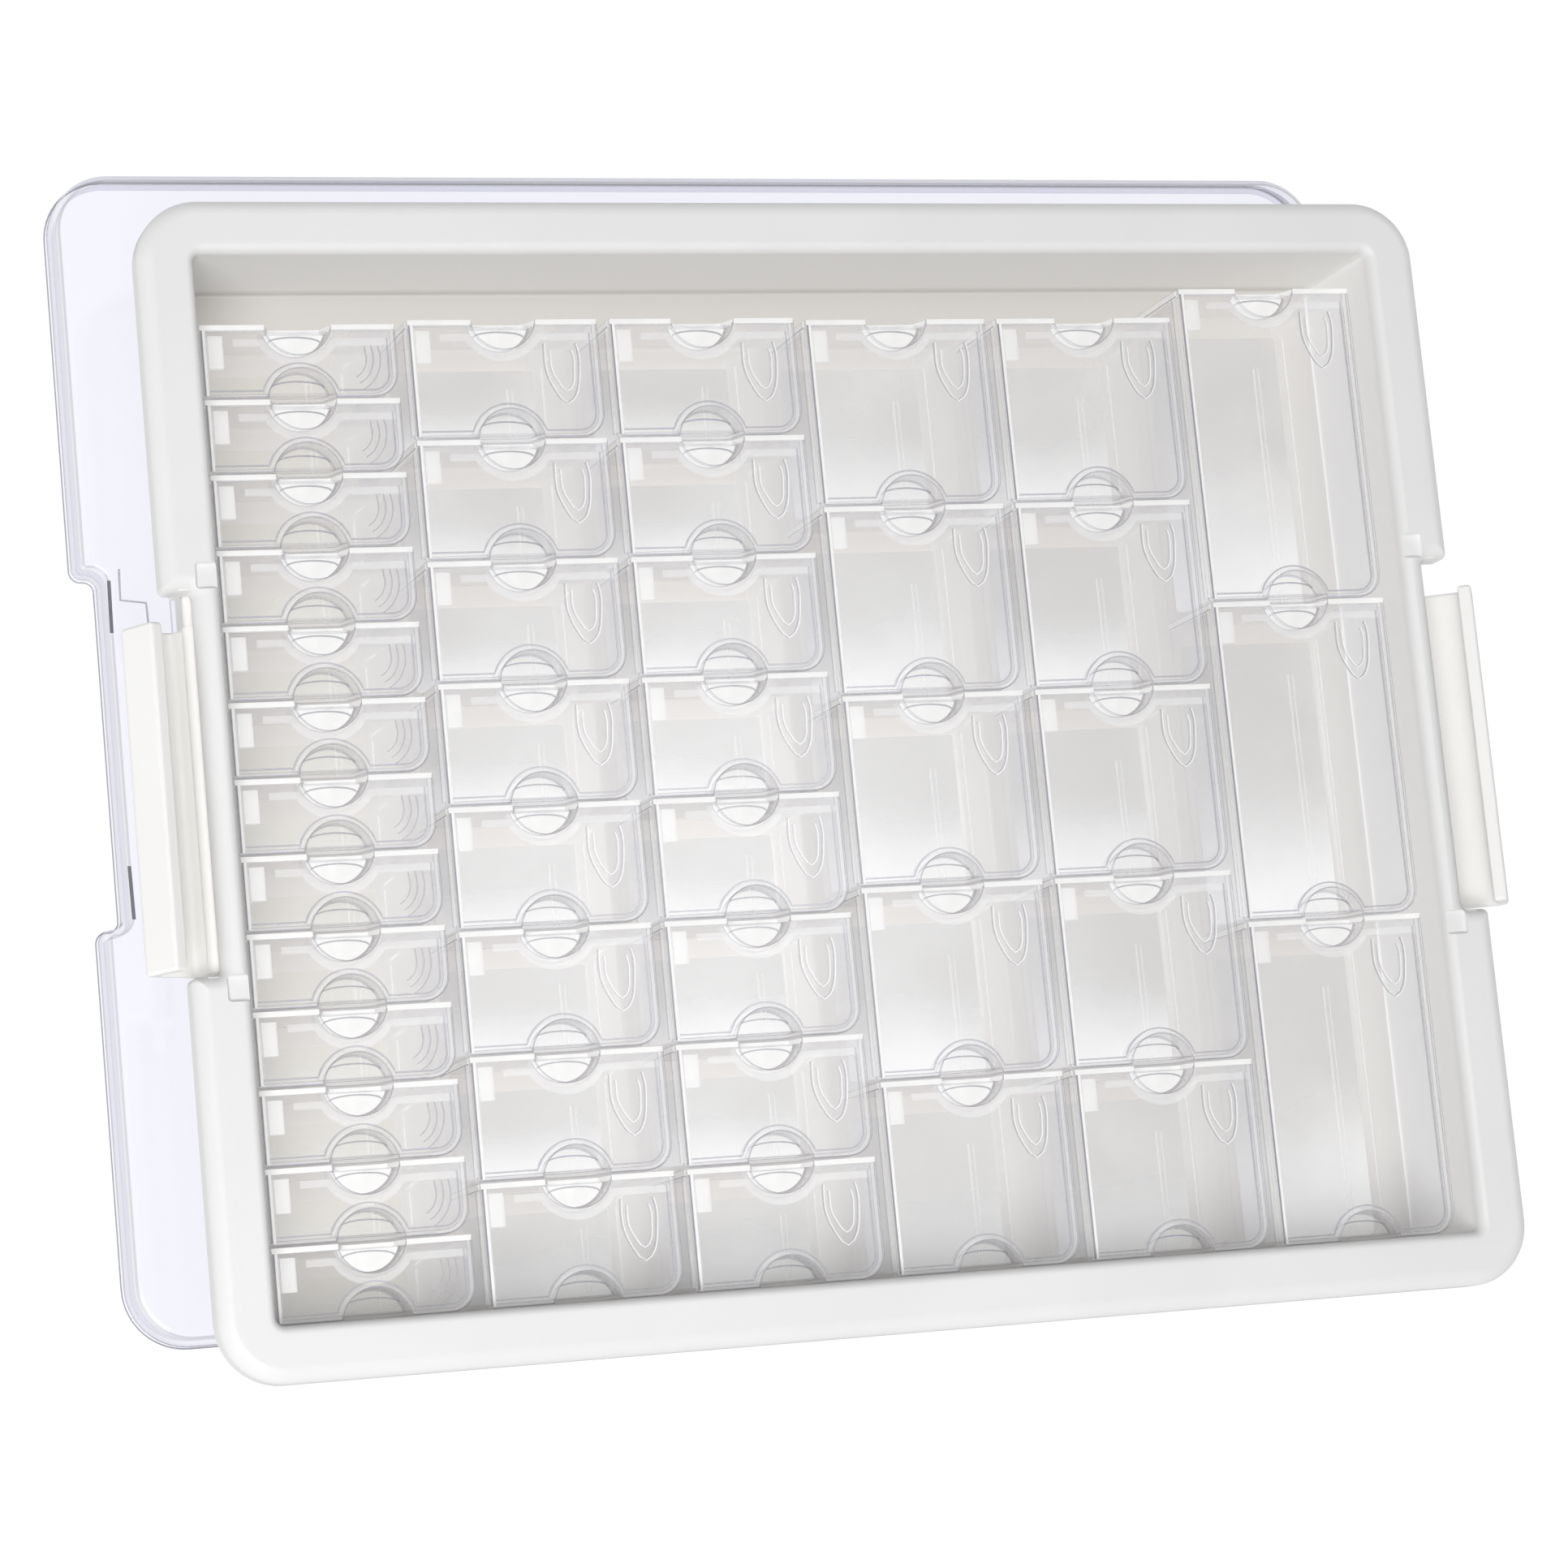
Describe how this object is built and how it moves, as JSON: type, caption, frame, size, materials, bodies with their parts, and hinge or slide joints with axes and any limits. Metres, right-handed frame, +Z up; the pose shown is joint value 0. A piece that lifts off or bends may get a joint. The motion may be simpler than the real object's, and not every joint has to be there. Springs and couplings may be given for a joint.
{
  "type": "parts sorting tray",
  "caption": "Shallow white tray with a rolled rim, filled with clear flip-lid containers in columns of graded sizes, with two swinging side latches and a clear cover.",
  "frame": {"origin": "on the table plane, under the middle of the whole outline over the cover, the tray and the opened latches", "axes": "+X along the long side, to the right of a person facing the tray; +Y towards the far long side; +Z up"},
  "size_m": [0.3474, 0.2928, 0.0529],
  "materials": {
    "white_moulding": "fine satin",
    "latch_white": "satin",
    "box_clear": "clear polished plastic",
    "lid_clear": "clear polished plastic",
    "cover_clear": "clear polished plastic with a faint lavender tint"
  },
  "bodies": {
    "tray": {"tray": "white_moulding"},
    "clear_cover": {"clear_cover": "cover_clear"},
    "latch_left": {"latch_left": "latch_white"},
    "latch_right": {"latch_right": "latch_white"},
    "tiny_box_01": {"tiny_box_01": "box_clear"},
    "tiny_lid_01": {"tiny_lid_01": "lid_clear"},
    "tiny_box_02": {"tiny_box_02": "box_clear"},
    "tiny_lid_02": {"tiny_lid_02": "lid_clear"},
    "tiny_box_03": {"tiny_box_03": "box_clear"},
    "tiny_lid_03": {"tiny_lid_03": "lid_clear"},
    "tiny_box_04": {"tiny_box_04": "box_clear"},
    "tiny_box_05": {"tiny_box_05": "box_clear"},
    "tiny_box_06": {"tiny_box_06": "box_clear"},
    "tiny_box_07": {"tiny_box_07": "box_clear"},
    "tiny_box_08": {"tiny_box_08": "box_clear"},
    "tiny_box_09": {"tiny_box_09": "box_clear"},
    "tiny_box_10": {"tiny_box_10": "box_clear"},
    "tiny_box_11": {"tiny_box_11": "box_clear"},
    "tiny_box_12": {"tiny_box_12": "box_clear"},
    "tiny_box_13": {"tiny_box_13": "box_clear"},
    "small_box_01": {"small_box_01": "box_clear"},
    "small_box_02": {"small_box_02": "box_clear"},
    "small_box_03": {"small_box_03": "box_clear"},
    "small_box_04": {"small_box_04": "box_clear"},
    "small_box_05": {"small_box_05": "box_clear"},
    "small_box_06": {"small_box_06": "box_clear"},
    "small_box_07": {"small_box_07": "box_clear"},
    "small_box_08": {"small_box_08": "box_clear"},
    "small_box_09": {"small_box_09": "box_clear"},
    "small_lid_09": {"small_lid_09": "lid_clear"},
    "small_box_10": {"small_box_10": "box_clear"},
    "small_lid_10": {"small_lid_10": "lid_clear"},
    "small_box_11": {"small_box_11": "box_clear"},
    "small_lid_11": {"small_lid_11": "lid_clear"},
    "small_box_12": {"small_box_12": "box_clear"},
    "small_box_13": {"small_box_13": "box_clear"},
    "small_box_14": {"small_box_14": "box_clear"},
    "small_box_15": {"small_box_15": "box_clear"},
    "small_box_16": {"small_box_16": "box_clear"},
    "medium_box_01": {"medium_box_01": "box_clear"},
    "medium_box_02": {"medium_box_02": "box_clear"},
    "medium_box_03": {"medium_box_03": "box_clear"},
    "medium_box_04": {"medium_box_04": "box_clear"},
    "medium_box_05": {"medium_box_05": "box_clear"},
    "medium_box_06": {"medium_box_06": "box_clear"},
    "medium_lid_06": {"medium_lid_06": "lid_clear"},
    "medium_box_07": {"medium_box_07": "box_clear"},
    "medium_lid_07": {"medium_lid_07": "lid_clear"},
    "medium_box_08": {"medium_box_08": "box_clear"},
    "medium_lid_08": {"medium_lid_08": "lid_clear"},
    "medium_box_09": {"medium_box_09": "box_clear"},
    "medium_lid_09": {"medium_lid_09": "lid_clear"},
    "medium_box_10": {"medium_box_10": "box_clear"},
    "medium_lid_10": {"medium_lid_10": "lid_clear"},
    "large_box_1": {"large_box_1": "box_clear"},
    "large_lid_1": {"large_lid_1": "lid_clear"},
    "large_box_2": {"large_box_2": "box_clear"},
    "large_lid_2": {"large_lid_2": "lid_clear"},
    "large_box_3": {"large_box_3": "box_clear"},
    "large_lid_3": {"large_lid_3": "lid_clear"}
  },
  "joints": [
    {"name": "cover_slide", "type": "slide", "parent": "tray", "child": "clear_cover", "axis": [0, 1, 0], "range_m": [0, 0.27]},
    {"name": "latch_left_swing", "type": "hinge", "parent": "tray", "child": "latch_left", "pos_m": [-0.15474, -0.01252, 0.0434], "axis": [0, -1, 0], "range_deg": [-61, 35]},
    {"name": "latch_right_swing", "type": "hinge", "parent": "tray", "child": "latch_right", "pos_m": [0.15726, -0.01252, 0.0434], "axis": [0, 1, 0], "range_deg": [-61, 35]},
    {"name": "tiny_box_01_lift", "type": "slide", "parent": "tray", "child": "tiny_box_01", "axis": [0, 0, 1], "range_m": [0, 0.06]},
    {"name": "tiny_lid_01_flip", "type": "hinge", "parent": "tiny_box_01", "child": "tiny_lid_01", "pos_m": [-0.14594, 0.09062, 0.0393], "axis": [0, -1, 0], "range_deg": [0, 90]},
    {"name": "tiny_box_02_lift", "type": "slide", "parent": "tray", "child": "tiny_box_02", "axis": [0, 0, 1], "range_m": [0, 0.06]},
    {"name": "tiny_lid_02_flip", "type": "hinge", "parent": "tiny_box_02", "child": "tiny_lid_02", "pos_m": [-0.14594, 0.07272, 0.0393], "axis": [0, -1, 0], "range_deg": [0, 90]},
    {"name": "tiny_box_03_lift", "type": "slide", "parent": "tray", "child": "tiny_box_03", "axis": [0, 0, 1], "range_m": [0, 0.06]},
    {"name": "tiny_lid_03_flip", "type": "hinge", "parent": "tiny_box_03", "child": "tiny_lid_03", "pos_m": [-0.14594, 0.05482, 0.0393], "axis": [0, -1, 0], "range_deg": [0, 90]},
    {"name": "tiny_box_04_lift", "type": "slide", "parent": "tray", "child": "tiny_box_04", "axis": [0, 0, 1], "range_m": [0, 0.06]},
    {"name": "tiny_box_05_lift", "type": "slide", "parent": "tray", "child": "tiny_box_05", "axis": [0, 0, 1], "range_m": [0, 0.06]},
    {"name": "tiny_box_06_lift", "type": "slide", "parent": "tray", "child": "tiny_box_06", "axis": [0, 0, 1], "range_m": [0, 0.06]},
    {"name": "tiny_box_07_lift", "type": "slide", "parent": "tray", "child": "tiny_box_07", "axis": [0, 0, 1], "range_m": [0, 0.06]},
    {"name": "tiny_box_08_lift", "type": "slide", "parent": "tray", "child": "tiny_box_08", "axis": [0, 0, 1], "range_m": [0, 0.06]},
    {"name": "tiny_box_09_lift", "type": "slide", "parent": "tray", "child": "tiny_box_09", "axis": [0, 0, 1], "range_m": [0, 0.06]},
    {"name": "tiny_box_10_lift", "type": "slide", "parent": "tray", "child": "tiny_box_10", "axis": [0, 0, 1], "range_m": [0, 0.06]},
    {"name": "tiny_box_11_lift", "type": "slide", "parent": "tray", "child": "tiny_box_11", "axis": [0, 0, 1], "range_m": [0, 0.06]},
    {"name": "tiny_box_12_lift", "type": "slide", "parent": "tray", "child": "tiny_box_12", "axis": [0, 0, 1], "range_m": [0, 0.06]},
    {"name": "tiny_box_13_lift", "type": "slide", "parent": "tray", "child": "tiny_box_13", "axis": [0, 0, 1], "range_m": [0, 0.06]},
    {"name": "small_box_01_lift", "type": "slide", "parent": "tray", "child": "small_box_01", "axis": [0, 0, 1], "range_m": [0, 0.06]},
    {"name": "small_box_02_lift", "type": "slide", "parent": "tray", "child": "small_box_02", "axis": [0, 0, 1], "range_m": [0, 0.06]},
    {"name": "small_box_03_lift", "type": "slide", "parent": "tray", "child": "small_box_03", "axis": [0, 0, 1], "range_m": [0, 0.06]},
    {"name": "small_box_04_lift", "type": "slide", "parent": "tray", "child": "small_box_04", "axis": [0, 0, 1], "range_m": [0, 0.06]},
    {"name": "small_box_05_lift", "type": "slide", "parent": "tray", "child": "small_box_05", "axis": [0, 0, 1], "range_m": [0, 0.06]},
    {"name": "small_box_06_lift", "type": "slide", "parent": "tray", "child": "small_box_06", "axis": [0, 0, 1], "range_m": [0, 0.06]},
    {"name": "small_box_07_lift", "type": "slide", "parent": "tray", "child": "small_box_07", "axis": [0, 0, 1], "range_m": [0, 0.06]},
    {"name": "small_box_08_lift", "type": "slide", "parent": "tray", "child": "small_box_08", "axis": [0, 0, 1], "range_m": [0, 0.06]},
    {"name": "small_box_09_lift", "type": "slide", "parent": "tray", "child": "small_box_09", "axis": [0, 0, 1], "range_m": [0, 0.06]},
    {"name": "small_lid_09_flip", "type": "hinge", "parent": "small_box_09", "child": "small_lid_09", "pos_m": [-0.04594, 0.08588, 0.0393], "axis": [0, -1, 0], "range_deg": [0, 90]},
    {"name": "small_box_10_lift", "type": "slide", "parent": "tray", "child": "small_box_10", "axis": [0, 0, 1], "range_m": [0, 0.06]},
    {"name": "small_lid_10_flip", "type": "hinge", "parent": "small_box_10", "child": "small_lid_10", "pos_m": [-0.04594, 0.05668, 0.0393], "axis": [0, -1, 0], "range_deg": [0, 90]},
    {"name": "small_box_11_lift", "type": "slide", "parent": "tray", "child": "small_box_11", "axis": [0, 0, 1], "range_m": [0, 0.06]},
    {"name": "small_lid_11_flip", "type": "hinge", "parent": "small_box_11", "child": "small_lid_11", "pos_m": [-0.04594, 0.02747, 0.0393], "axis": [0, -1, 0], "range_deg": [0, 90]},
    {"name": "small_box_12_lift", "type": "slide", "parent": "tray", "child": "small_box_12", "axis": [0, 0, 1], "range_m": [0, 0.06]},
    {"name": "small_box_13_lift", "type": "slide", "parent": "tray", "child": "small_box_13", "axis": [0, 0, 1], "range_m": [0, 0.06]},
    {"name": "small_box_14_lift", "type": "slide", "parent": "tray", "child": "small_box_14", "axis": [0, 0, 1], "range_m": [0, 0.06]},
    {"name": "small_box_15_lift", "type": "slide", "parent": "tray", "child": "small_box_15", "axis": [0, 0, 1], "range_m": [0, 0.06]},
    {"name": "small_box_16_lift", "type": "slide", "parent": "tray", "child": "small_box_16", "axis": [0, 0, 1], "range_m": [0, 0.06]},
    {"name": "medium_box_01_lift", "type": "slide", "parent": "tray", "child": "medium_box_01", "axis": [0, 0, 1], "range_m": [0, 0.06]},
    {"name": "medium_box_02_lift", "type": "slide", "parent": "tray", "child": "medium_box_02", "axis": [0, 0, 1], "range_m": [0, 0.06]},
    {"name": "medium_box_03_lift", "type": "slide", "parent": "tray", "child": "medium_box_03", "axis": [0, 0, 1], "range_m": [0, 0.06]},
    {"name": "medium_box_04_lift", "type": "slide", "parent": "tray", "child": "medium_box_04", "axis": [0, 0, 1], "range_m": [0, 0.06]},
    {"name": "medium_box_05_lift", "type": "slide", "parent": "tray", "child": "medium_box_05", "axis": [0, 0, 1], "range_m": [0, 0.06]},
    {"name": "medium_box_06_lift", "type": "slide", "parent": "tray", "child": "medium_box_06", "axis": [0, 0, 1], "range_m": [0, 0.06]},
    {"name": "medium_lid_06_flip", "type": "hinge", "parent": "medium_box_06", "child": "medium_lid_06", "pos_m": [0.05406, 0.07658, 0.0393], "axis": [0, -1, 0], "range_deg": [0, 90]},
    {"name": "medium_box_07_lift", "type": "slide", "parent": "tray", "child": "medium_box_07", "axis": [0, 0, 1], "range_m": [0, 0.06]},
    {"name": "medium_lid_07_flip", "type": "hinge", "parent": "medium_box_07", "child": "medium_lid_07", "pos_m": [0.05406, 0.02998, 0.0393], "axis": [0, -1, 0], "range_deg": [0, 90]},
    {"name": "medium_box_08_lift", "type": "slide", "parent": "tray", "child": "medium_box_08", "axis": [0, 0, 1], "range_m": [0, 0.06]},
    {"name": "medium_lid_08_flip", "type": "hinge", "parent": "medium_box_08", "child": "medium_lid_08", "pos_m": [0.05406, -0.01663, 0.0393], "axis": [0, -1, 0], "range_deg": [0, 90]},
    {"name": "medium_box_09_lift", "type": "slide", "parent": "tray", "child": "medium_box_09", "axis": [0, 0, 1], "range_m": [0, 0.06]},
    {"name": "medium_lid_09_flip", "type": "hinge", "parent": "medium_box_09", "child": "medium_lid_09", "pos_m": [0.05406, -0.06323, 0.0393], "axis": [0, -1, 0], "range_deg": [0, 90]},
    {"name": "medium_box_10_lift", "type": "slide", "parent": "tray", "child": "medium_box_10", "axis": [0, 0, 1], "range_m": [0, 0.06]},
    {"name": "medium_lid_10_flip", "type": "hinge", "parent": "medium_box_10", "child": "medium_lid_10", "pos_m": [0.05406, -0.10983, 0.0393], "axis": [0, -1, 0], "range_deg": [0, 90]},
    {"name": "large_box_1_lift", "type": "slide", "parent": "tray", "child": "large_box_1", "axis": [0, 0, 1], "range_m": [0, 0.06]},
    {"name": "large_lid_1_flip", "type": "hinge", "parent": "large_box_1", "child": "large_lid_1", "pos_m": [0.10406, 0.06713, 0.0393], "axis": [0, -1, 0], "range_deg": [0, 90]},
    {"name": "large_box_2_lift", "type": "slide", "parent": "tray", "child": "large_box_2", "axis": [0, 0, 1], "range_m": [0, 0.06]},
    {"name": "large_lid_2_flip", "type": "hinge", "parent": "large_box_2", "child": "large_lid_2", "pos_m": [0.10406, -0.01298, 0.0393], "axis": [0, -1, 0], "range_deg": [0, 90]},
    {"name": "large_box_3_lift", "type": "slide", "parent": "tray", "child": "large_box_3", "axis": [0, 0, 1], "range_m": [0, 0.06]},
    {"name": "large_lid_3_flip", "type": "hinge", "parent": "large_box_3", "child": "large_lid_3", "pos_m": [0.10406, -0.09308, 0.0393], "axis": [0, -1, 0], "range_deg": [0, 90]}
  ]
}
